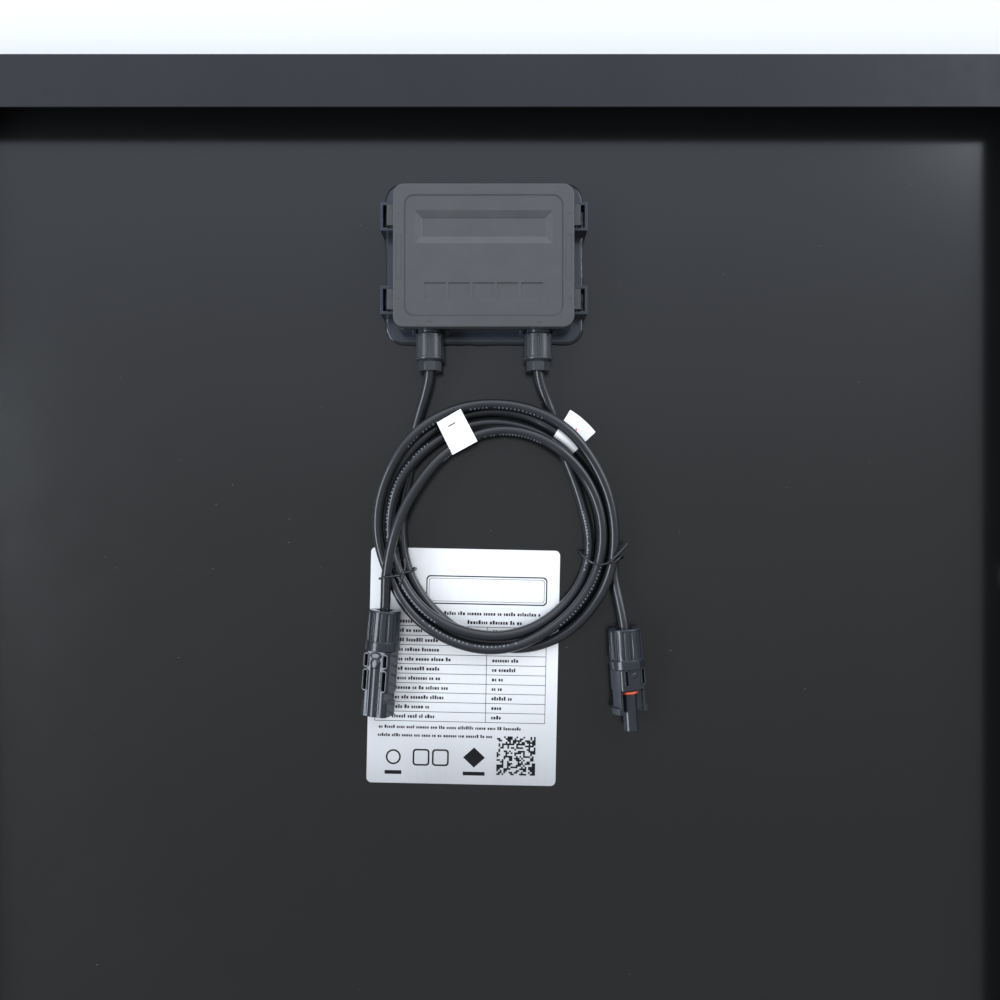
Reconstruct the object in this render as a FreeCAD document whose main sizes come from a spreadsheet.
"""A framed solar panel lying on its glass, with its junction box, leads and plugs.

Part frame: origin at the middle of the footprint on the floor, +X across the
panel, +Y towards the junction box, +Z out of the rear side.  All sizes in mm.
"""
import FreeCAD
import Part

import math
import os
import re

import Sketcher

Vector = FreeCAD.Vector
Rotation = FreeCAD.Rotation

# ---------------------------------------------------------------- dimensions

DIMENSIONS = {
    # frame rail section, u inwards from the outer face
    "panel_width": 680, "panel_length": 1330, "panel_height": 35,
    "rail_wall": 1.5, "lip_width": 8.5, "chamber_width": 11,
    "glazing_slot": 5.5, "shelf_thickness": 1.4, "flange_width": 30,
    "mount_slot_length": 14, "mount_slot_width": 9,
    "mount_slot_inset": 15, "mount_slot_spacing": 730,
    "earth_hole_radius": 2.1, "drain_length": 8, "drain_height": 3, "drain_inset": 60,
    "key_length": 45, "key_clearance": 0.1,
    # laminate, from the glass to the backsheet
    "laminate_gap": 2, "front_tape": 0.4, "glass_thickness": 3.2, "front_foil": 0.35,
    "cell_layer": 0.5, "rear_foil": 0.35, "backsheet_thickness": 0.3,
    "side_margin": 18.5, "end_margin": 33.9, "strip_depth": 31.35,
    "strip_thickness": 0.2, "strip_bond": 0.02, "string_gap": 3,
    "string_count": 4, "strip_count": 42,
    "bus_width": 6, "bus_thickness": 0.2, "bus_overlap": 2, "ribbon_width": 5,
    "ribbon_slot_length": 8, "ribbon_slot_width": 6,
    # rating label
    "label_width": 112.5, "label_length": 140, "label_thickness": 0.15, "label_corner": 3,
    "label_across": -12.5, "label_from_box": 239.1, "label_turn": -1.2,
    # junction box, heights above the backsheet
    "box_from_end": 113, "bead_thickness": 0.6, "bead_margin": 1.5, "bead_width": 9,
    "flange_across": 114, "flange_along": 93, "flange_corner": 9, "box_floor": 1.4,
    "wall_across": 101, "wall_along": 79.4, "wall_corner": 5, "wall_thickness": 2.2,
    "rim_height": 19.8, "lid_across": 103.9, "lid_along": 82.3, "lid_corner": 6.3,
    "lid_height": 24, "lid_top": 2, "lid_overlap": 2.5, "lid_clearance": 0.3,
    "lid_edge_radius": 0.8, "gasket_thickness": 1.5,
    "plate_across": 79.2, "plate_along": 18.9, "plate_bevel": 3.8, "plate_depth": 1.1,
    "plate_offset": 16.3, "line_inset": 6.4, "line_width": 0.5, "line_depth": 0.3,
    "field_pitch": 13.9, "field_gap": 0.8, "field_along": 10.3, "field_depth": 0.25,
    "field_offset": -20.6, "field_count": 5, "mark_length": 3.4, "mark_width": 0.8,
    "mark_height": 0.25, "mark_inset": 3.6,
    "clip_length": 16.7, "clip_reach": 8.1, "clip_bar": 1.75, "clip_arm": 1.9,
    "clip_offset": 24.2, "clip_top": 16.5, "tab_reach": 3.9, "tab_length": 11.8,
    "tab_height": 2.2, "hook_thickness": 1.2, "hook_drop": 7,
    "ear_width": 2.2, "ear_depth": 2.6, "ear_height": 4, "ear_offset": 9.4,
    # cable glands
    "gland_across": 31.6, "gland_height": 10.4, "neck_radius": 6.4, "neck_length": 15.8,
    "collar_radius": 6.7, "collar_length": 3, "thread_clearance": 0.05,
    "gland_nut_radius": 8.1, "gland_ring_radius": 8.65, "gland_nut_length": 22,
    "gland_head_flats": 13.6, "gland_mouth_radius": 4.4, "gland_mouth_gap": 0.65,
    "gland_web": 1, "gland_head_length": 5.5, "gland_ring_length": 2.6,
    "gland_flutes": 8, "gland_flute_radius": 0.75, "seal_length": 9, "seal_radius": 5.2,
    # inside the box
    "rail_height": 7.4, "rail_thickness": 1.2, "rail_across": 10, "rail_along": 53,
    "rail_slot": 2, "post_size": 8, "post_spacing": 40,
    "diode_radius": 4.75, "diode_length": 9.5, "diode_lead_radius": 0.6,
    "diode_spacing": 24, "spring_across": 7, "spring_along": 4, "spring_height": 2.4,
    "ferrule_radius": 1.8, "ferrule_length": 11, "inner_lead_length": 22,
    # leads and coil
    "cable_radius": 3, "bore_clearance": 0.05,
    "coil_across": 7.55, "coil_from_box": 155.2, "coil_inner": 52, "coil_outer": 73,
    "coil_bottom": 1.8, "coil_height": 12, "coil_round": 4,
    "wire_radius": 0.6, "wire_gap": 0.3, "wire_corner": 2, "wire_tail": 9,
    "tie_left_angle": 207, "tie_right_angle": -17.5,
    "flag_length": 16.3, "flag_width": 21.4, "flag_thickness": 0.25, "flag_gap": 0.1,
    "flag_across": -15.4, "flag_from_box": 100.9, "flag_turn": 30,
    "side_flag_angle": 50.3, "side_flag_width": 7.5,
    # plugs; lengths run from the cable end of the nut towards the tip
    "plug_height": 10.5, "nut_length": 23.2, "nut_gap": 0.3,
    "nut_radius": 9.4, "nut_ring_radius": 10.2, "nut_ring_length": 5, "nut_flutes": 14,
    "nut_flute_radius": 0.9, "nut_mouth_radius": 4.9, "nut_mouth_depth": 2.5,
    "nut_hole_radius": 3.6, "nut_web": 6.5, "plug_neck_radius": 7, "plug_neck_start": 7,
    "plug_seal_radius": 5.15, "plug_seal_start": 8, "contact_start": 18,
    "contact_radius": 2,
    "socket_across": -57.85, "socket_from_box": 204.3, "socket_turn": -4.1,
    "socket_roll": 20, "socket_length": 61.4, "socket_width": 16.2,
    "socket_depth": 15, "housing_corner": 3, "socket_mouth_radius": 4.6,
    "socket_mouth_depth": 23.4, "socket_pin_end": 50, "ridge_radius": 5, "ridge_rise": 0.9,
    "ridge_start": 32, "notch_start": 47.2, "notch_length": 5.3, "notch_depth": 1.7,
    "window_offset": 6, "window_width": 1.9, "window_depth": 11,
    "rear_window_start": 25.5, "rear_window_length": 6.7,
    "front_window_start": 34.8, "front_window_length": 11,
    "nose_across": 82.15, "nose_from_box": 214.8, "nose_turn": 3.9, "nose_roll": -28,
    "nose_body_length": 12, "nose_length": 24.3, "nose_radius": 4.4,
    "nose_width": 17.5, "nose_depth": 14.5, "nose_bore_radius": 2.7,
    "socket_contact_radius": 2.65, "socket_contact_end": 57,
    "nose_window_offset": 5.7, "nose_window_width": 1.5, "nose_window_length": 8.5,
    "nose_window_depth": 8, "arm_thickness": 1.6, "arm_depth": 8, "arm_length": 14,
    "arm_hook": 1.2, "arm_hook_length": 4, "ring_section": 0.8, "ring_inset": 2,
    "ring_gap": 0.1, "nose_collar_radius": 4.9,
}

# Sizes that follow from the ones above.
DERIVED = {
    "slot_top": "rail_wall + glazing_slot",
    "glass_bottom": "rail_wall + front_tape",
    "glass_top": "glass_bottom + glass_thickness",
    "cell_bottom": "glass_top + front_foil",
    "cell_top": "cell_bottom + cell_layer",
    "rear_foil_top": "cell_top + rear_foil",
    "back_face": "rear_foil_top + backsheet_thickness",
    "laminate_width": "panel_width - 2 * rail_wall - 2 * laminate_gap",
    "laminate_length": "panel_length - 2 * rail_wall - 2 * laminate_gap",
    "array_width": "laminate_width - 2 * side_margin",
    "array_length": "laminate_length - 2 * end_margin",
    "strip_width": "(array_width - (string_count - 1) * string_gap) / string_count",
    "strip_pitch": "(array_length - strip_depth) / (strip_count - 1)",
    "box_along": "panel_length / 2 - box_from_end",
    "label_along": "box_along - label_from_box",
    "coil_along": "box_along - coil_from_box",
    "box_floor_top": "bead_thickness + box_floor",
    "skirt_bottom": "rim_height - lid_overlap",
    "skirt_across": "wall_across + 2 * lid_clearance",
    "skirt_along": "wall_along + 2 * lid_clearance",
    "inner_across": "wall_across - 2 * wall_thickness",
    "inner_along": "wall_along - 2 * wall_thickness",
    "neck_end": "wall_along / 2 + neck_length",
    "gland_nut_end": "wall_along / 2 + collar_length + thread_clearance * 4 + gland_nut_length",
    "rail_top": "rail_height + rail_thickness",
    "cable_bore": "cable_radius + bore_clearance",
    "housing_start": "nut_length + nut_gap",
    "nose_start": "housing_start + nose_body_length",
    "nose_end": "nose_start + nose_length",
}

# Routes of the free stretches of cable: across, along from the middle of the box, and
# height above the backsheet.
NEGATIVE_LEAD = [(-31.6, -55.5, 10.4), (-31.6, -66.5, 10.4), (-34.4, -78, 8.4),
                 (-38, -89, 5.6), (-40.8, -99, 5)]
POSITIVE_LEAD = [(31.6, -55.5, 10.4), (31.6, -65, 10.4), (33.9, -74, 9.1),
                 (37, -81.5, 7.4), (39.6, -88.6, 6.9)]
NEGATIVE_TAIL = [(-42.5, -138, 16.6), (-47.6, -148, 16.9), (-51.8, -159.5, 17.1),
                 (-54.8, -172, 17), (-56.7, -184.5, 15.6), (-57.3, -194.5, 12.2)]
POSITIVE_TAIL = [(76.1, -182.2, 5.7), (77.4, -190.8, 6.5), (79.2, -199.2, 8.4)]

document = FreeCAD.newDocument("solar_panel")
sheet = document.addObject("Spreadsheet::Sheet", "Dimensions")
pieces = []


def fill_sheet():
    for row, (name, value) in enumerate(DIMENSIONS.items(), start=1):
        sheet.set(f"A{row}", name)
        sheet.set(f"B{row}", str(value))
        sheet.setAlias(f"B{row}", name)
    document.recompute()


def bound(text):
    """Turn a formula in plain names into an expression on the sheet's cells."""
    text = str(text)
    while any(name in DERIVED for name in re.findall(r"[a-z_]+", text)):
        text = re.sub(r"[a-z_]+",
                      lambda hit: f"({DERIVED[hit[0]]})" if hit[0] in DERIVED else hit[0], text)
    return re.sub(r"[a-z_]+",
                  lambda hit: f"Dimensions.{hit[0]}" if hit[0] in DIMENSIONS else hit[0], text)


def number(text):
    return float(sheet.evalExpression(bound(text)))


def whole(text):
    return round(number(text))


# ------------------------------------------------------------ modelling tools

def new_body(label, across="0", along="0", height="0"):
    body = document.addObject("PartDesign::Body", label)
    body.Label = label
    body.setExpression("Placement.Base.x", bound(across))
    body.setExpression("Placement.Base.y", bound(along))
    body.setExpression("Placement.Base.z", bound(height))
    pieces.append(body)
    return body


def new_sketch(body, plane="XY", offset="0"):
    origin = next(item for item in body.Origin.OriginFeatures if item.Role == plane + "_Plane")
    sketch = body.newObject("Sketcher::SketchObject", "Sketch")
    sketch.AttachmentSupport = [(origin, "")]
    sketch.MapMode = "FlatFace"
    sketch.setExpression("AttachmentOffset.Base.z", bound(offset))
    return sketch


def dimension(sketch, kind, where, formula):
    index = sketch.addConstraint(Sketcher.Constraint(kind, *where, number(formula)))
    sketch.setExpression(f"Constraints[{index}]", bound(formula))


def fix_point(sketch, edge, end, across, along):
    dimension(sketch, "DistanceX", (-1, 1, edge, end), across)
    dimension(sketch, "DistanceY", (-1, 1, edge, end), along)


def polygon(sketch, points):
    first = sketch.GeometryCount
    places = [Vector(number(across), number(along), 0) for across, along in points]
    count = len(places)
    for start, stop in zip(places, places[1:] + places[:1]):
        sketch.addGeometry(Part.LineSegment(start, stop), False)
    for step in range(count):
        following = first + (step + 1) % count
        sketch.addConstraint(Sketcher.Constraint("Coincident", first + step, 2, following, 1))
    for step, (across, along) in enumerate(points):
        fix_point(sketch, first + step, 1, across, along)


def rectangle(sketch, width, length, across="0", along="0"):
    low_x, high_x = f"{across} - ({width}) / 2", f"{across} + ({width}) / 2"
    low_y, high_y = f"{along} - ({length}) / 2", f"{along} + ({length}) / 2"
    polygon(sketch, [(low_x, low_y), (high_x, low_y), (high_x, high_y), (low_x, high_y)])


def regular_polygon(sketch, sides, flats):
    radius = f"({flats}) / 2 / cos({180 / sides})"
    angles = [360 / sides * (step + 0.5) for step in range(sides)]
    polygon(sketch, [(f"{radius} * cos({angle})", f"{radius} * sin({angle})")
                     for angle in angles])


def circle(sketch, radius, across="0", along="0"):
    edge = sketch.GeometryCount
    centre = Vector(number(across), number(along), 0)
    sketch.addGeometry(Part.Circle(centre, Vector(0, 0, 1), number(radius)), False)
    dimension(sketch, "Radius", (edge,), radius)
    fix_point(sketch, edge, 3, across, along)


def rounded(sketch, width, length, corner, across="0", along="0"):
    """A rectangle whose four corners are tangent arcs."""
    first = sketch.GeometryCount
    x, y, radius = number(across), number(along), number(corner)
    half_x, half_y = number(width) / 2, number(length) / 2
    inner_x, inner_y = half_x - radius, half_y - radius
    corners = [(inner_x, -inner_y, -90), (inner_x, inner_y, 0),
               (-inner_x, inner_y, 90), (-inner_x, -inner_y, 180)]
    sides = [((-inner_x, -half_y), (inner_x, -half_y)), ((half_x, -inner_y), (half_x, inner_y)),
             ((inner_x, half_y), (-inner_x, half_y)), ((-half_x, inner_y), (-half_x, -inner_y))]
    for (start, stop), (centre_x, centre_y, angle) in zip(sides, corners):
        sketch.addGeometry(Part.LineSegment(Vector(x + start[0], y + start[1], 0),
                                            Vector(x + stop[0], y + stop[1], 0)), False)
        arc = Part.Circle(Vector(x + centre_x, y + centre_y, 0), Vector(0, 0, 1), radius)
        sketch.addGeometry(Part.ArcOfCircle(arc, math.radians(angle),
                                            math.radians(angle + 90)), False)
    for step in range(8):
        sketch.addConstraint(Sketcher.Constraint("Tangent", first + step, 2,
                                                 first + (step + 1) % 8, 1))
    for step, direction in enumerate(("Horizontal", "Vertical") * 2):
        sketch.addConstraint(Sketcher.Constraint(direction, first + 2 * step))
    for step in (3, 5, 7):
        sketch.addConstraint(Sketcher.Constraint("Equal", first + 1, first + step))
    dimension(sketch, "Radius", (first + 1,), corner)
    dimension(sketch, "DistanceX", (first + 6, 1, first + 2, 1), width)
    dimension(sketch, "DistanceY", (first, 1, first + 4, 1), length)
    dimension(sketch, "DistanceX", (-1, 1, first + 2, 1), f"{across} + ({width}) / 2")
    dimension(sketch, "DistanceY", (-1, 1, first + 4, 1), f"{along} + ({length}) / 2")


def slot(sketch, width, length, across, along):
    """A slot with round ends that runs along the sketch's second axis."""
    first = sketch.GeometryCount
    x, y, radius = number(across), number(along), number(width) / 2
    reach = number(length) / 2 - radius
    up = Vector(0, 0, 1)
    top = Part.Circle(Vector(x, y + reach, 0), up, radius)
    bottom = Part.Circle(Vector(x, y - reach, 0), up, radius)
    sketch.addGeometry(Part.ArcOfCircle(top, 0, math.pi), False)
    sketch.addGeometry(Part.LineSegment(Vector(x - radius, y + reach, 0),
                                        Vector(x - radius, y - reach, 0)), False)
    sketch.addGeometry(Part.ArcOfCircle(bottom, math.pi, 2 * math.pi), False)
    sketch.addGeometry(Part.LineSegment(Vector(x + radius, y - reach, 0),
                                        Vector(x + radius, y + reach, 0)), False)
    for step in range(4):
        sketch.addConstraint(Sketcher.Constraint("Tangent", first + step, 2,
                                                 first + (step + 1) % 4, 1))
    sketch.addConstraint(Sketcher.Constraint("Vertical", first + 1))
    dimension(sketch, "Radius", (first,), f"({width}) / 2")
    fix_point(sketch, first, 3, across, f"{along} + ({length}) / 2 - ({width}) / 2")
    dimension(sketch, "DistanceY", (first + 2, 3, first, 3), f"({length}) - ({width})")


def pad(body, sketch, length, both_ways=False):
    feature = body.newObject("PartDesign::Pad", "Pad")
    feature.Profile = sketch
    feature.Midplane = both_ways
    feature.setExpression("Length", bound(length))
    return feature


def pocket(body, sketch, depth=None, along_normal=False):
    """Cut against the sketch's normal, or along it; with no depth, right through."""
    feature = body.newObject("PartDesign::Pocket", "Pocket")
    feature.Profile = sketch
    feature.Reversed = along_normal
    if depth is None:
        feature.Type = "ThroughAll"
    else:
        feature.setExpression("Length", bound(depth))
    return feature


def revolve(body, profile):
    """Turn an (outwards, along) outline about the body's own Z axis."""
    sketch = new_sketch(body, "XZ")
    polygon(sketch, profile)
    feature = body.newObject("PartDesign::Revolution", "Revolution")
    feature.Profile = sketch
    feature.ReferenceAxis = (sketch, ["V_Axis"])
    feature.Angle = 360
    return feature


def fillet_top(body, height, radius):
    """Round the outer edges of the face at this height."""
    document.recompute()
    solid = body.Tip
    level = number(height)
    names = [f"Edge{index}" for index, edge in enumerate(solid.Shape.Edges, start=1)
             if abs(edge.BoundBox.ZMin - level) < 1e-4 and abs(edge.BoundBox.ZMax - level) < 1e-4]
    feature = body.newObject("PartDesign::Fillet", "Fillet")
    feature.Base = (solid, names)
    feature.setExpression("Radius", bound(radius))


def plain_piece(label, shape, position=None, rotation=None):
    """A piece made directly from a shape; its placement comes after the shape."""
    piece = document.addObject("Part::Feature", label)
    piece.Label = label
    piece.Shape = shape
    piece.Placement = FreeCAD.Placement(position or Vector(), rotation or Rotation())
    pieces.append(piece)
    return piece


def block(label, width, length, thickness, across, along, height):
    """A Part::Box centred across and along, its bottom at the given height."""
    box = document.addObject("Part::Box", label)
    box.setExpression("Length", bound(width))
    box.setExpression("Width", bound(length))
    box.setExpression("Height", bound(thickness))
    box.setExpression("Placement.Base.x", bound(f"{across} - ({width}) / 2"))
    box.setExpression("Placement.Base.y", bound(f"{along} - ({length}) / 2"))
    box.setExpression("Placement.Base.z", bound(height))
    return box


def rod(label, radius, length, direction, across, along, height):
    """A Part::Cylinder that starts at a place and runs along X or Y."""
    cylinder = document.addObject("Part::Cylinder", label)
    cylinder.setExpression("Radius", bound(radius))
    cylinder.setExpression("Height", bound(length))
    turn = {"X": Rotation(Vector(0, 1, 0), 90), "Y": Rotation(Vector(1, 0, 0), -90)}
    cylinder.Placement = FreeCAD.Placement(Vector(), turn[direction])
    cylinder.setExpression("Placement.Base.x", bound(across))
    cylinder.setExpression("Placement.Base.y", bound(along))
    cylinder.setExpression("Placement.Base.z", bound(height))
    return cylinder


def group(label, members, kind="Part::Compound"):
    """Join members as one piece: Part::Compound keeps them apart, Part::MultiFuse welds."""
    piece = document.addObject(kind, label)
    piece.Label = label
    if kind == "Part::Compound":
        piece.Links = members
    else:
        piece.Shapes = members
    pieces.append(piece)
    return piece


# -------------------------------------------------------------------- frame

def frame_rail(label, length, across, along, angle, mounts):
    """One mitred rail, its outer face on the body's YZ plane and its inside towards +X."""
    rail = new_body(label, across, along)
    rail.Placement.Rotation = Rotation(Vector(0, 0, 1), angle)
    flange_bottom = "panel_height - rail_wall"
    chamber_bottom = "slot_top + shelf_thickness"
    section = new_sketch(rail, "XZ")
    polygon(section, [("0", "0"), ("lip_width", "0"), ("lip_width", "rail_wall"),
                      ("rail_wall", "rail_wall"), ("rail_wall", "slot_top"),
                      ("chamber_width", "slot_top"), ("chamber_width", flange_bottom),
                      ("flange_width", flange_bottom), ("flange_width", "panel_height"),
                      ("0", "panel_height")])
    polygon(section, [("rail_wall", chamber_bottom),
                      ("chamber_width - rail_wall", chamber_bottom),
                      ("chamber_width - rail_wall", flange_bottom),
                      ("rail_wall", flange_bottom)])
    pad(rail, section, length, both_ways=True)
    mitres = new_sketch(rail, "XY", "panel_height + rail_wall")
    for sign in ("", "-"):
        polygon(mitres, [("-rail_wall", f"{sign}(({length}) / 2 + rail_wall)"),
                         ("flange_width + rail_wall",
                          f"{sign}(({length}) / 2 - flange_width - rail_wall)"),
                         ("flange_width + rail_wall", f"{sign}(({length}) / 2 + rail_wall)")])
    pocket(rail, mitres)
    drains = new_sketch(rail, "YZ", "rail_wall")
    for sign in ("", "-"):
        rectangle(drains, "drain_length", "drain_height", f"{sign}(({length}) / 2 - drain_inset)",
                  f"{chamber_bottom} + drain_height / 2")
    pocket(rail, drains, "rail_wall")
    if mounts:
        holes = new_sketch(rail, "XY", "panel_height")
        for sign in ("", "-"):
            slot(holes, "mount_slot_width", "mount_slot_length", "mount_slot_inset",
                 f"{sign}(mount_slot_spacing / 2)")
        circle(holes, "earth_hole_radius", "mount_slot_inset", "0")
        pocket(rail, holes, "rail_wall")


def frame():
    frame_rail("frame_rail_left", "panel_length", "-panel_width / 2", "0", 0, True)
    frame_rail("frame_rail_right", "panel_length", "panel_width / 2", "0", 180, True)
    frame_rail("frame_rail_bottom", "panel_width", "0", "-panel_length / 2", 90, False)
    frame_rail("frame_rail_top", "panel_width", "0", "panel_length / 2", -90, False)


def corner_keys():
    """An L-shaped key in the rails' chambers at each corner."""
    edge = number("rail_wall + key_clearance")
    leg = number("chamber_width - 2 * rail_wall - 2 * key_clearance")
    length = number("key_length")
    bottom = number("slot_top + shelf_thickness + key_clearance")
    height = number("panel_height - rail_wall - key_clearance") - bottom
    outline = [(0, 0), (length, 0), (length, leg), (leg, leg), (leg, length), (0, length)]
    keys = []
    for turn, (side_x, side_y) in enumerate([(-1, -1), (1, -1), (1, 1), (-1, 1)]):
        wire = Part.makePolygon([Vector(x, y, 0) for x, y in outline + outline[:1]])
        key = Part.Face(wire).extrude(Vector(0, 0, height))
        corner = Vector(side_x * (number("panel_width / 2") - edge),
                        side_y * (number("panel_length / 2") - edge), bottom)
        key.Placement = FreeCAD.Placement(corner, Rotation(Vector(0, 0, 1), 90 * turn))
        keys.append(key)
    plain_piece("corner_keys", Part.makeCompound(keys))


def frame_sealant():
    """The sealant in the rails' glazing slot, around the laminate's edge."""
    ring = new_body("frame_sealant")
    outline = new_sketch(ring, "XY", "rail_wall")
    rectangle(outline, "panel_width - 2 * rail_wall", "panel_length - 2 * rail_wall")
    pad(ring, outline, "glazing_slot")
    opening = new_sketch(ring, "XY", "slot_top")
    rectangle(opening, "panel_width - 2 * chamber_width", "panel_length - 2 * chamber_width")
    pocket(ring, opening)
    front = new_sketch(ring, "XY", "glass_bottom")
    rectangle(front, "panel_width - 2 * lip_width", "panel_length - 2 * lip_width")
    pocket(ring, front, "front_tape")
    bed = new_sketch(ring, "XY", "back_face")
    rectangle(bed, "laminate_width", "laminate_length")
    pocket(ring, bed, "back_face - glass_bottom")


# ----------------------------------------------------------------- laminate

def sheet_body(label, bottom, thickness):
    body = new_body(label)
    outline = new_sketch(body, "XY", bottom)
    rectangle(outline, "laminate_width", "laminate_length")
    pad(body, outline, thickness)
    return body


def ribbon_slots(body, top):
    holes = new_sketch(body, "XY", top)
    for sign in ("", "-"):
        rectangle(holes, "ribbon_slot_length", "ribbon_slot_width",
                  f"{sign}gland_across", "box_along")
    pocket(body, holes)


def laminate():
    sheet_body("glass", "glass_bottom", "glass_thickness")
    sheet_body("front_encapsulant", "glass_top", "front_foil")
    rear = sheet_body("rear_encapsulant", "cell_bottom", "rear_foil_top - cell_bottom")
    bed = new_sketch(rear, "XY", "cell_top")
    rectangle(bed, "array_width + string_gap", "array_length + 2 * bus_width")
    pocket(rear, bed, "cell_layer")
    channels = new_sketch(rear, "XY", "cell_top + bus_thickness")
    for sign, end in (("-", "-array_length / 2 - bus_width"),
                      ("", "array_length / 2 + bus_width")):
        length = f"box_along - ({end})" if sign else f"{end} - box_along"
        rectangle(channels, "ribbon_width + string_gap / 2", length, f"{sign}gland_across",
                  f"(box_along + {end}) / 2")
    pocket(rear, channels, "bus_thickness")
    ribbon_slots(rear, "rear_foil_top")
    backsheet = sheet_body("backsheet", "rear_foil_top", "backsheet_thickness")
    ribbon_slots(backsheet, "back_face")


def cell_strings():
    """Shingled strips: each one tilts a little so that its edge lies on the next."""
    width, depth = number("strip_width"), number("strip_depth")
    thickness, pitch = number("strip_thickness"), number("strip_pitch")
    tilt = math.degrees(math.asin((thickness + number("strip_bond")) / pitch))
    start_y = -number("array_length") / 2
    lift = number("cell_bottom")
    for string in range(whole("string_count")):
        start_x = -number("array_width") / 2 + string * (width + number("string_gap"))
        strips = []
        for step in range(whole("strip_count")):
            strip = Part.makeBox(width, depth, thickness)
            place = Vector(start_x, start_y + step * pitch, lift)
            strip.Placement = FreeCAD.Placement(place, Rotation(Vector(1, 0, 0), tilt))
            strips.append(strip)
        plain_piece(f"cell_string_{string + 1}", Part.makeCompound(strips))


def bus_ribbons():
    """A bus bar across each end of the strings, and a ribbon from each to the box."""
    solids = []
    for side, sign, end in (("negative", "-", -1), ("positive", "", 1)):
        bar_along = f"{end} * (array_length / 2 + bus_width / 2 - bus_overlap)"
        bar_bottom = "cell_top - bus_thickness - strip_bond" if end < 0 else "cell_bottom"
        ribbon_bottom = "cell_top"
        ribbon_length = f"abs(box_along - {bar_along})"
        across = f"{sign}gland_across"
        bar = block(f"{side}_bus", "array_width", "bus_width", "bus_thickness", "0",
                    bar_along, bar_bottom)
        link = block(f"{side}_link", "ribbon_width", "bus_width / 2",
                     f"{ribbon_bottom} - ({bar_bottom}) + bus_thickness / 2", across,
                     f"{bar_along} + {end} * bus_width / 4", bar_bottom)
        strap = block(f"{side}_strap", "ribbon_width", ribbon_length, "bus_thickness", across,
                      f"(box_along + {bar_along}) / 2", ribbon_bottom)
        riser = block(f"{side}_riser", "ribbon_width", "bus_thickness",
                      f"back_face + rail_top + spring_height - {ribbon_bottom}", across,
                      f"box_along + {end} * bus_thickness / 2", ribbon_bottom)
        solid = document.addObject("Part::MultiFuse", f"{side}_ribbon")
        solid.Shapes = [bar, link, strap, riser]
        solids.append(solid)
    group("bus_ribbons", solids)


def rating_label():
    label = new_body("rating_label", "label_across", "label_along", "back_face")
    label.Placement.Rotation = Rotation(Vector(0, 0, 1), number("label_turn"))
    outline = new_sketch(label)
    rounded(outline, "label_width", "label_length", "label_corner")
    pad(label, outline, "label_thickness")


# ------------------------------------------------------------- junction box

def box_body(label):
    return new_body(label, "0", "box_along", "back_face")


def box_adhesive():
    bead = box_body("box_adhesive")
    outline = new_sketch(bead)
    rounded(outline, "flange_across + 2 * bead_margin", "flange_along + 2 * bead_margin",
            "flange_corner + bead_margin")
    rounded(outline, "flange_across - 2 * bead_width", "flange_along - 2 * bead_width",
            "bead_margin")
    pad(bead, outline, "bead_thickness")


def clip_frames(base):
    """Four open frames beside the lid, which its tabs snap into."""
    inner = "wall_across / 2 - wall_thickness / 2"
    frames = new_sketch(base, "XY", "box_floor_top")
    for side in (1, -1):
        for end in (1, -1):
            far = f"{side} * (lid_across / 2 + clip_reach)"
            near = f"{side} * ({inner})"
            bar = f"{side} * (lid_across / 2 + clip_reach - clip_bar)"
            middle = f"{end} * clip_offset"
            low, high = f"{middle} - clip_length / 2", f"{middle} + clip_length / 2"
            polygon(frames, [(near, low), (far, low), (far, high), (near, high),
                             (near, f"{high} - clip_arm"), (bar, f"{high} - clip_arm"),
                             (bar, f"{low} + clip_arm"), (near, f"{low} + clip_arm")])
    pad(base, frames, "clip_top - box_floor_top")


def junction_box_base():
    base = box_body("junction_box_base")
    flange = new_sketch(base, "XY", "bead_thickness")
    rounded(flange, "flange_across", "flange_along", "flange_corner")
    pad(base, flange, "box_floor")
    wall = new_sketch(base, "XY", "box_floor_top")
    rounded(wall, "wall_across", "wall_along", "wall_corner")
    rounded(wall, "inner_across", "inner_along", "wall_corner - wall_thickness")
    pad(base, wall, "rim_height - box_floor_top")
    clip_frames(base)
    posts = new_sketch(base, "XY", "box_floor_top")
    for side in ("", "-"):
        for end in ("", "-"):
            rectangle(posts, "post_size", "post_size", f"{side}gland_across",
                      f"{end}(post_spacing / 2)")
    pad(base, posts, "rail_height - box_floor_top")
    ears = new_sketch(base, "XY", "box_floor_top")
    for side in (1, -1):
        for edge in (1, -1):
            rectangle(ears, "ear_width", "ear_depth",
                      f"{side} * gland_across + {edge} * ear_offset",
                      "-wall_along / 2 - ear_depth / 2 + line_width")
    pad(base, ears, "ear_height")
    for radius, length in (("neck_radius", "neck_length"), ("collar_radius", "collar_length")):
        necks = new_sketch(base, "XZ", "wall_along / 2 - wall_thickness / 2")
        for side in ("", "-"):
            circle(necks, radius, f"{side}gland_across", "gland_height")
        pad(base, necks, f"{length} + wall_thickness / 2")
    for radius, depth in (("seal_radius + bore_clearance", "seal_length + bore_clearance"),
                          ("cable_bore", "neck_length + 2 * wall_thickness")):
        bores = new_sketch(base, "XZ", "neck_end")
        for side in ("", "-"):
            circle(bores, radius, f"{side}gland_across", "gland_height")
        pocket(base, bores, depth)
    slots = new_sketch(base, "XY", "box_floor_top")
    for side in ("", "-"):
        rectangle(slots, "ribbon_slot_length", "ribbon_slot_width", f"{side}gland_across", "0")
    pocket(base, slots)


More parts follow.
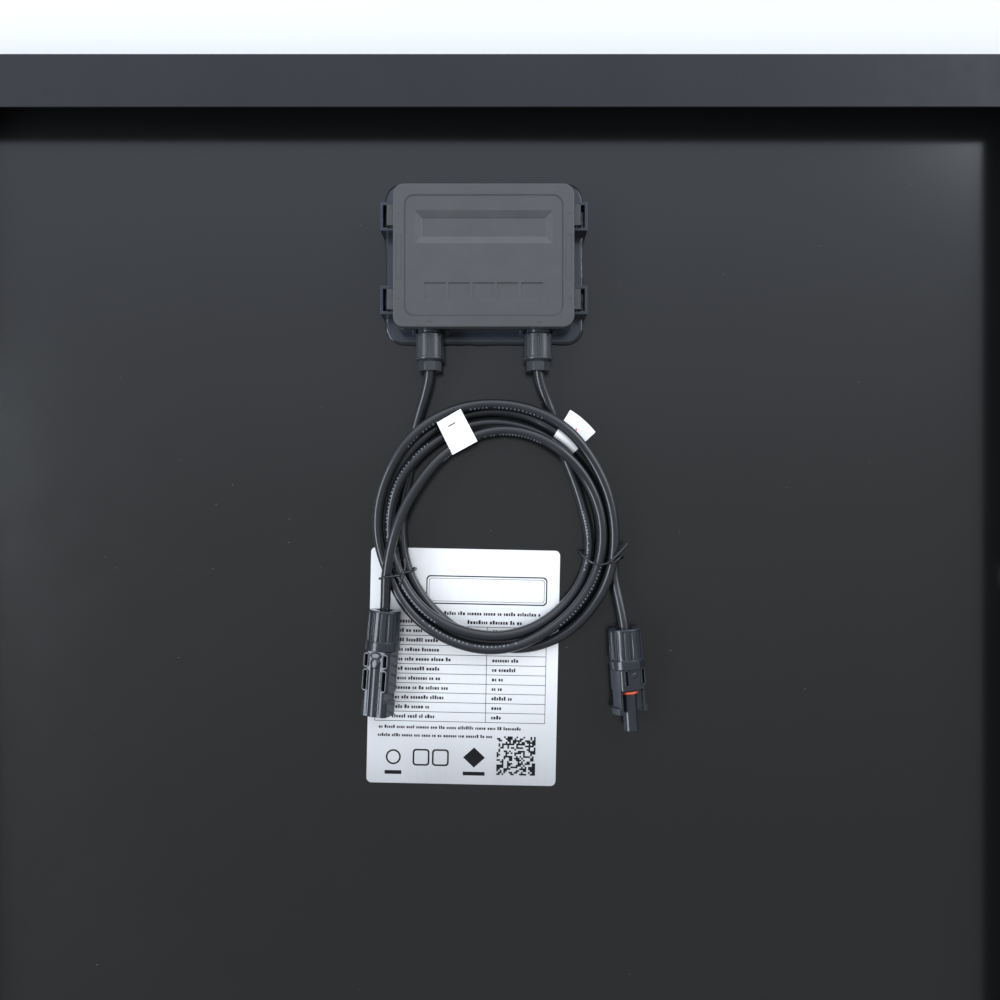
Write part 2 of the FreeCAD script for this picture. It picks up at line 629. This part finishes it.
def lid_tabs(lid):
    """A tab on the lid's side in each clip frame, with a hooked leg that drops into it."""
    for inner, bottom, height in (
            ("lid_across / 2 - lid_clearance", "skirt_bottom", "tab_height"),
            ("lid_across / 2 + tab_reach - hook_thickness", "skirt_bottom + tab_height - hook_drop",
             "hook_drop")):
        tabs = new_sketch(lid, "XY", bottom)
        outer = "lid_across / 2 + tab_reach"
        for side in (1, -1):
            for end in (1, -1):
                rectangle(tabs, f"{outer} - ({inner})", "tab_length",
                          f"{side} * (({outer}) + ({inner})) / 2", f"{end} * clip_offset")
        pad(lid, tabs, height)


def lid_marks(lid):
    """Raised polarity marks by the glands and a small arrow by each clip."""
    marks = new_sketch(lid, "XY", "lid_height")
    near = "-lid_along / 2 + mark_inset"
    rectangle(marks, "mark_length", "mark_width", "-gland_across", near)
    arm, half = "mark_length / 2", "mark_width / 2"
    cross = [(arm, half), (half, half), (half, arm), (f"-{half}", arm), (f"-{half}", half),
             (f"-{arm}", half), (f"-{arm}", f"-{half}"), (f"-{half}", f"-{half}"),
             (f"-{half}", f"-{arm}"), (half, f"-{arm}"), (half, f"-{half}"), (arm, f"-{half}")]
    polygon(marks, [(f"gland_across + {x}", f"{near} + {y}") for x, y in cross])
    for side in (1, -1):
        for end in (1, -1):
            tip = f"{side} * (lid_across / 2 - mark_inset / 2)"
            back = f"{side} * (lid_across / 2 - mark_inset / 2 - mark_length / 2)"
            middle = f"{end} * clip_offset"
            polygon(marks, [(tip, middle), (back, f"{middle} + mark_width"),
                            (back, f"{middle} - mark_width")])
    pad(lid, marks, "mark_height")


def junction_box_lid():
    lid = box_body("junction_box_lid")
    shell = new_sketch(lid, "XY", "skirt_bottom")
    rounded(shell, "lid_across", "lid_along", "lid_corner")
    pad(lid, shell, "lid_height - skirt_bottom")
    fillet_top(lid, "lid_height", "lid_edge_radius")
    skirt = new_sketch(lid, "XY", "rim_height + gasket_thickness")
    rounded(skirt, "skirt_across", "skirt_along", "wall_corner + lid_clearance")
    pocket(lid, skirt)
    hollow = new_sketch(lid, "XY", "lid_height - lid_top")
    rounded(hollow, "inner_across", "inner_along", "wall_corner - wall_thickness")
    pocket(lid, hollow)
    plate_top = new_sketch(lid, "XY", "lid_height")
    rectangle(plate_top, "plate_across", "plate_along", "0", "plate_offset")
    plate_floor = new_sketch(lid, "XY", "lid_height - plate_depth")
    rectangle(plate_floor, "plate_across - 2 * plate_bevel", "plate_along - 2 * plate_bevel",
              "0", "plate_offset")
    recess = lid.newObject("PartDesign::SubtractiveLoft", "Recess")
    recess.Profile = plate_top
    recess.Sections = [plate_floor]
    line = new_sketch(lid, "XY", "lid_height")
    rounded(line, "lid_across - 2 * line_inset", "lid_along - 2 * line_inset",
            "lid_corner - line_width")
    rounded(line, "lid_across - 2 * line_inset - 2 * line_width",
            "lid_along - 2 * line_inset - 2 * line_width", "lid_corner - 2 * line_width")
    pocket(lid, line, "line_depth")
    fields = new_sketch(lid, "XY", "lid_height")
    for step in range(whole("field_count")):
        rectangle(fields, "field_pitch - field_gap", "field_along",
                  f"({step} - (field_count - 1) / 2) * field_pitch", "field_offset")
    pocket(lid, fields, "field_depth")
    lid_tabs(lid)
    lid_marks(lid)


def lid_gasket():
    gasket = box_body("lid_gasket")
    ring = new_sketch(gasket, "XY", "rim_height")
    rounded(ring, "wall_across", "wall_along", "wall_corner")
    rounded(ring, "inner_across", "inner_along", "wall_corner - wall_thickness")
    pad(gasket, ring, "gasket_thickness")


def terminals():
    """Rails, ribbon springs, diodes, ferrules and the leads' ends inside the box."""
    lead_end = "box_along - neck_end + inner_lead_length"
    springs, ferrules = [], []
    for side, sign, end in (("negative", "-", -1), ("positive", "", 1)):
        across = f"{sign}gland_across"
        rail = box_body(f"terminal_rail_{side}")
        strip = new_sketch(rail, "XY", "rail_height")
        rectangle(strip, "rail_across", "rail_along", across, "0")
        rectangle(strip, "ribbon_width + rail_thickness", "rail_slot", across, "0")
        pad(rail, strip, "rail_thickness")
        springs.append(block(f"{side}_spring", "spring_across", "spring_along", "spring_height",
                             across, f"box_along + {end} * (bus_thickness + spring_along / 2)",
                             "back_face + rail_top"))
        ferrules.append(rod(f"{side}_ferrule", "ferrule_radius", "ferrule_length", "Y", across,
                            lead_end, "back_face + gland_height"))
        lead = rod(f"{side}_inner_lead", "cable_radius", "inner_lead_length", "Y", across,
                   "box_along - neck_end", "back_face + gland_height")
        lead.Label = f"{side}_inner_lead"
        pieces.append(lead)
    group("ribbon_springs", springs)
    group("lead_ferrules", ferrules)
    for index, sign in enumerate(("-", ""), start=1):
        along = f"box_along + {sign}(diode_spacing / 2)"
        height = "back_face + rail_top + diode_lead_radius"
        barrel = rod(f"diode_{index}_barrel", "diode_radius", "diode_length", "X",
                     "-diode_length / 2", along, height)
        leads = rod(f"diode_{index}_leads", "diode_lead_radius", "2 * gland_across", "X",
                    "-gland_across", along, height)
        group(f"bypass_diode_{index}", [barrel, leads], "Part::MultiFuse")


def flutes(body, count, radius, distance, end, depth):
    """Grip grooves along a nut, cut back from the given height."""
    grooves = new_sketch(body, "XY", end)
    for step in range(whole(count)):
        angle = f"{step} * 360 / {count}"
        circle(grooves, radius, f"({distance}) * cos({angle})", f"({distance}) * sin({angle})")
    pocket(body, grooves, depth)


def glands():
    """A dome nut and a rubber seal on each of the box's threaded necks."""
    for side, sign in (("negative", "-"), ("positive", "")):
        nut = new_body(f"{side}_gland_nut", f"{sign}gland_across",
                       "box_along - gland_nut_end", "back_face + gland_height")
        nut.Placement.Rotation = Rotation(Vector(1, 0, 0), -90)
        bore = "neck_radius + thread_clearance"
        shoulder = "gland_nut_end - neck_end - thread_clearance"
        mouth = "cable_radius + gland_mouth_gap"
        ring_start = "gland_head_length"
        ring_end = "gland_head_length + gland_ring_length"
        head = new_sketch(nut)
        regular_polygon(head, 8, "gland_head_flats")
        circle(head, "gland_mouth_radius")
        pad(nut, head, "gland_head_length + thread_clearance")
        revolve(nut, [(mouth, ring_start),
                      ("gland_head_flats / 2", ring_start),
                      ("gland_ring_radius", f"{ring_start} + gland_ring_length / 2"),
                      ("gland_ring_radius", ring_end), ("gland_nut_radius", ring_end),
                      ("gland_nut_radius", "gland_nut_length - line_width"),
                      ("gland_nut_radius - line_width", "gland_nut_length"),
                      (bore, "gland_nut_length"), (bore, shoulder),
                      (mouth, f"{ring_start} + gland_web")])
        flutes(nut, "gland_flutes", "gland_flute_radius", "gland_nut_radius",
               "gland_nut_length - line_width * 3",
               f"gland_nut_length - line_width * 3 - ({ring_end})")
        seal = new_body(f"{side}_gland_seal", f"{sign}gland_across",
                        "box_along - neck_end", "back_face + gland_height")
        seal.Placement.Rotation = Rotation(Vector(1, 0, 0), -90)
        tube = new_sketch(seal)
        circle(tube, "seal_radius")
        circle(tube, "cable_bore")
        pad(seal, tube, "seal_length")


# -------------------------------------------------------------------- plugs

def plug_placement(plug):
    """Local +Z runs from the cable to the tip, and local +Y is the plug's own top."""
    across = number(f"{plug}_across")
    along = number(f"box_along - {plug}_from_box")
    place = Vector(across, along, number("back_face + plug_height"))
    lying = Rotation(Vector(0, 0, 1), number(f"{plug}_turn")) * Rotation(Vector(1, 0, 0), 90)
    return FreeCAD.Placement(place, lying * Rotation(Vector(0, 0, 1), number(f"{plug}_roll")))


def plug_body(label, plug):
    body = document.addObject("PartDesign::Body", label)
    body.Label = label
    body.Placement = plug_placement(plug)
    pieces.append(body)
    return body


def plug_nut(label, plug):
    nut = plug_body(label, plug)
    bore = "plug_neck_radius + thread_clearance"
    ring_start = "nut_length - nut_ring_length"
    revolve(nut, [("nut_mouth_radius", "0"), ("nut_radius - line_width", "0"),
                  ("nut_radius", "line_width"), ("nut_radius + line_width", ring_start),
                  ("nut_ring_radius", ring_start), ("nut_ring_radius", "nut_length"),
                  (bore, "nut_length"), (bore, "nut_web"), ("nut_hole_radius", "nut_web"),
                  ("nut_hole_radius", "nut_mouth_depth"),
                  ("nut_mouth_radius", "nut_mouth_depth")])
    flutes(nut, "nut_flutes", "nut_flute_radius", "nut_radius + line_width",
           f"{ring_start} - line_width", f"{ring_start} - 4 * line_width")


def plug_neck(body):
    """The threaded neck behind a housing, which the nut turns on."""
    neck = new_sketch(body, "XY", "plug_neck_start")
    circle(neck, "plug_neck_radius")
    pad(body, neck, "housing_start - plug_neck_start")


def neck_bores(body, contact_end):
    """Room for the seal and for the contact's crimped end."""
    seat = new_sketch(body, "XY", "contact_start")
    circle(seat, "plug_seal_radius + bore_clearance")
    pocket(body, seat)
    contact = new_sketch(body, "XY", contact_end)
    circle(contact, "contact_radius + bore_clearance")
    pocket(body, contact)


def windows(body, top, offset, width, start, length, depth):
    """Two blind windows in a housing's top, one each side of its middle."""
    openings = new_sketch(body, "XZ", f"-({top})")
    for sign in ("", "-"):
        rectangle(openings, width, length, f"{sign}{offset}", f"{start} + ({length}) / 2")
    pocket(body, openings, depth, along_normal=True)


def socket_housing():
    body = plug_body("negative_plug_housing", "socket")
    plug_neck(body)
    main = new_sketch(body, "XY", "housing_start")
    rounded(main, "socket_width", "socket_depth", "housing_corner")
    pad(body, main, "socket_length - housing_start")
    ridge = new_sketch(body, "XY", "ridge_start")
    circle(ridge, "ridge_radius", "0", "socket_depth / 2 + ridge_rise - ridge_radius")
    pad(body, ridge, "socket_length - ridge_start")
    notches = new_sketch(body, "XY", "notch_start + notch_length")
    for sign in ("", "-"):
        rectangle(notches, "2 * notch_depth", "2 * socket_depth", f"{sign}(socket_width / 2)")
    pocket(body, notches, "notch_length")
    windows(body, "socket_depth / 2", "window_offset", "window_width", "rear_window_start",
            "rear_window_length", "window_depth")
    windows(body, "socket_depth / 2", "window_offset", "window_width", "front_window_start",
            "front_window_length", "window_depth")
    mouth = new_sketch(body, "XY", "socket_length")
    circle(mouth, "socket_mouth_radius")
    pocket(body, mouth, "socket_mouth_depth")
    neck_bores(body, "socket_length - socket_mouth_depth")


def nose_housing():
    body = plug_body("positive_plug_housing", "nose")
    plug_neck(body)
    main = new_sketch(body, "XY", "housing_start")
    rounded(main, "nose_width", "nose_depth", "housing_corner")
    pad(body, main, "nose_body_length")
    nose = new_sketch(body, "XY", "nose_start")
    circle(nose, "nose_radius")
    pad(body, nose, "nose_length")
    collar = new_sketch(body, "XY", "nose_start")
    circle(collar, "nose_collar_radius")
    pad(body, collar, "ring_inset - ring_section")
    arms = new_sketch(body, "XY", "nose_start - nose_window_width")
    hooks = new_sketch(body, "XY", "nose_start + arm_length - arm_hook_length")
    for sign in (1, -1):
        edge = f"{sign} * (nose_width / 2"
        rectangle(arms, "arm_thickness", "arm_depth", f"{edge} - arm_thickness / 2)")
        rectangle(hooks, "arm_thickness + arm_hook", "arm_depth",
                  f"{edge} - arm_thickness / 2 + arm_hook / 2)")
    pad(body, arms, "arm_length + nose_window_width")
    pad(body, hooks, "arm_hook_length")
    windows(body, "nose_depth / 2", "nose_window_offset", "nose_window_width",
            "housing_start + line_width", "nose_window_length", "nose_window_depth")
    groove = new_sketch(body, "XY", "nose_start + ring_inset + ring_section + ring_gap")
    circle(groove, "nose_radius + ring_section")
    circle(groove, "nose_radius - ring_section")
    pocket(body, groove, "2 * ring_section + ring_gap")
    bore = new_sketch(body, "XY", "nose_end")
    circle(bore, "nose_bore_radius")
    pocket(body, bore, "nose_length - ring_inset")
    neck_bores(body, "nose_start + ring_inset")


def plug_seal(label, plug):
    seal = plug_body(label, plug)
    tube = new_sketch(seal, "XY", "plug_seal_start")
    circle(tube, "plug_seal_radius")
    circle(tube, "cable_bore")
    pad(seal, tube, "contact_start - plug_seal_start - nut_gap")


def plug_lead_end(label, plug):
    """The last of the cable, from the seal's face to the contact."""
    end = plug_body(label, plug)
    section = new_sketch(end, "XY", "plug_seal_start")
    circle(section, "cable_radius")
    pad(end, section, "contact_start - plug_seal_start")


def contacts():
    pin = plug_body("negative_plug_contact", "socket")
    revolve(pin, [("0", "contact_start"), ("contact_radius", "contact_start"),
                  ("contact_radius", "socket_pin_end - contact_radius"),
                  ("contact_radius / 2", "socket_pin_end"), ("0", "socket_pin_end")])
    sleeve = plug_body("positive_plug_contact", "nose")
    step = "nose_start + ring_inset"
    revolve(sleeve, [("0", "contact_start"), ("contact_radius", "contact_start"),
                     ("contact_radius", step), ("socket_contact_radius", step),
                     ("socket_contact_radius", "socket_contact_end"),
                     ("contact_radius", "socket_contact_end"),
                     ("contact_radius", f"{step} + contact_radius"),
                     ("0", f"{step} + contact_radius")])


def plug_ring():
    """The sealing ring in the groove at the root of the nose."""
    ring = document.addObject("Part::Torus", "plug_seal_ring")
    ring.Label = "plug_seal_ring"
    ring.setExpression("Radius1", bound("nose_radius"))
    ring.setExpression("Radius2", bound("ring_section"))
    place = plug_placement("nose")
    offset = Vector(0, 0, number("nose_start + ring_inset"))
    ring.Placement = FreeCAD.Placement(place.multVec(offset), place.Rotation)
    pieces.append(ring)


def plugs():
    for side, plug in (("negative", "socket"), ("positive", "nose")):
        plug_nut(f"{side}_plug_nut", plug)
        plug_seal(f"{side}_plug_seal", plug)
        plug_lead_end(f"{side}_plug_lead_end", plug)
    socket_housing()
    nose_housing()
    contacts()
    plug_ring()


# -------------------------------------------------- cables, ties and flags

def rounded_path(points, label, radius=None):
    """Straight runs joined by tangent arcs, as large as their runs allow."""
    edges, start, radii = [], points[0], []
    for before, corner, after in zip(points, points[1:], points[2:]):
        arriving, leaving = corner - before, after - corner
        reach = 0.45 * min(arriving.Length, leaving.Length)
        turn = arriving.getAngle(leaving)
        arc_radius = reach / math.tan(turn / 2)
        if radius is not None:
            arc_radius = radius
            reach = radius * math.tan(turn / 2)
        radii.append(arc_radius)
        arriving.normalize()
        leaving.normalize()
        enter, leave = corner - arriving * reach, corner + leaving * reach
        inwards = leaving - arriving
        inwards.normalize()
        middle = corner + inwards * (arc_radius / math.cos(turn / 2) - arc_radius)
        edges += [Part.LineSegment(start, enter).toShape(),
                  Part.Arc(enter, middle, leave).toShape()]
        start = leave
    edges.append(Part.LineSegment(start, points[-1]).toShape())
    path = Part.Wire(edges)
    print(f"{label}: length {path.Length:.1f}, radii", " ".join(f"{r:.0f}" for r in radii))
    return path


def tube(label, points, radius, corner=None):
    path = rounded_path(points, label, corner)
    direction = points[1] - points[0]
    section = Part.Wire([Part.Circle(points[0], direction, radius).toShape()])
    solid = path.makePipeShell([section], True, True)
    expected = math.pi * radius ** 2 * path.Length
    if abs(solid.Volume - expected) > 0.01 * expected:
        raise ValueError(f"{label}: volume {solid.Volume:.1f}, not {expected:.1f}")
    return solid


def cables():
    start = Vector(0, number("box_along"), number("back_face"))
    radius = number("cable_radius")
    for label, route, plug in (("negative_lead", NEGATIVE_LEAD, None),
                               ("positive_lead", POSITIVE_LEAD, None),
                               ("negative_tail", NEGATIVE_TAIL, "socket"),
                               ("positive_tail", POSITIVE_TAIL, "nose")):
        points = [start + Vector(*point) for point in route]
        if plug:
            place = plug_placement(plug)
            points += [place.multVec(Vector(0, 0, number(depth)))
                       for depth in ("-nut_mouth_depth / 2", "plug_seal_start")]
        plain_piece(label, tube(label, points, radius))


def cable_coil():
    """The outer shape of both cables' turns."""
    coil = new_body("cable_coil", "coil_across", "coil_along", "back_face + coil_bottom")
    edge = "coil_round"
    revolve(coil, [(f"coil_inner + {edge}", "0"), (f"coil_outer - {edge}", "0"),
                   ("coil_outer", edge), ("coil_outer", f"coil_height - {edge}"),
                   (f"coil_outer - {edge}", "coil_height"),
                   (f"coil_inner + {edge}", "coil_height"),
                   ("coil_inner", f"coil_height - {edge}"), ("coil_inner", edge)])


def twist_tie(label, angle, tail_side, over_tail):
    """A wire once around the coil, with its twisted end outside.

    The left one also goes over the tail of cable that lies on the coil.
    """
    gap = number("wire_gap + wire_radius")
    inner, outer = number("coil_inner") - gap, number("coil_outer") + gap
    low, high = number("coil_bottom") - gap, number("coil_bottom + coil_height") + gap
    middle = (low + high) / 2
    wire = number("wire_radius")
    tail = number("wire_tail")
    crown = [Vector(inner, 0, high), Vector(outer, 0, high)]
    if over_tail:
        side = number("cable_radius") + gap
        crown = [Vector(inner, 0, high), Vector(outer - 2 * side, 0, high),
                 Vector(outer - 1.4 * side, 0, high + 1.1 * side),
                 Vector(outer + side, 0, high + 1.1 * side)]
        outer += side
    points = [Vector(outer, 0, middle), Vector(outer, 0, low), Vector(inner, 0, low), *crown,
              Vector(outer, 0, middle + 3 * wire),
              Vector(outer + tail, tail_side * tail / 2, middle + 3 * wire)]
    solid = tube(label, points, wire, number("wire_corner") / 2)
    place = Vector(number("coil_across"), number("coil_along"), number("back_face"))
    plain_piece(label, solid, place, Rotation(Vector(0, 0, 1), number(angle)))


def flags():
    """Paper flags that name each cable's pole: one on the coil, one beside it."""
    length, width = number("flag_length"), number("side_flag_width")
    thickness = number("flag_thickness")
    flag = new_body("polarity_flag_negative", "flag_across", "box_along - flag_from_box",
                    "back_face + coil_bottom + coil_height + flag_gap")
    flag.Placement.Rotation = Rotation(Vector(0, 0, 1), number("flag_turn"))
    outline = new_sketch(flag)
    rectangle(outline, "flag_length", "flag_width")
    pad(flag, outline, "flag_thickness")
    corner = Vector(number("coil_outer + flag_gap"), -length / 2,
                    number("coil_bottom + coil_height / 2"))
    paper = Part.makeBox(width, length, thickness, corner)
    centre = Vector(number("coil_across"), number("coil_along"), number("back_face"))
    turn = Rotation(Vector(0, 0, 1), number("side_flag_angle"))
    plain_piece("polarity_flag_positive", paper, centre, turn)


# -------------------------------------------------------------------- export

def check_document():
    for item in document.Objects:
        if "Invalid" in item.State or "Error" in item.State:
            raise ValueError(f"{item.Label} failed: {item.State}")
    for piece in pieces:
        if piece.Shape.isNull() or not piece.Shape.isValid() or not piece.Shape.Solids:
            raise ValueError(f"{piece.Label} has no valid solid")
        if piece.isDerivedFrom("PartDesign::Body") and len(piece.Shape.Solids) != 1:
            raise ValueError(f"{piece.Label} came apart")


def main():
    fill_sheet()
    frame()
    corner_keys()
    frame_sealant()
    laminate()
    cell_strings()
    bus_ribbons()
    rating_label()
    box_adhesive()
    junction_box_base()
    junction_box_lid()
    lid_gasket()
    terminals()
    glands()
    plugs()
    cables()
    cable_coil()
    twist_tie("twist_tie_left", "tie_left_angle", 1, True)
    twist_tie("twist_tie_right", "tie_right_angle", -1, False)
    flags()
    document.recompute()
    check_document()
    os.makedirs("parts", exist_ok=True)
    for piece in pieces:
        piece.Shape.exportStep(f"parts/{piece.Label}.step")
    print(f"{len(pieces)} pieces")


main()
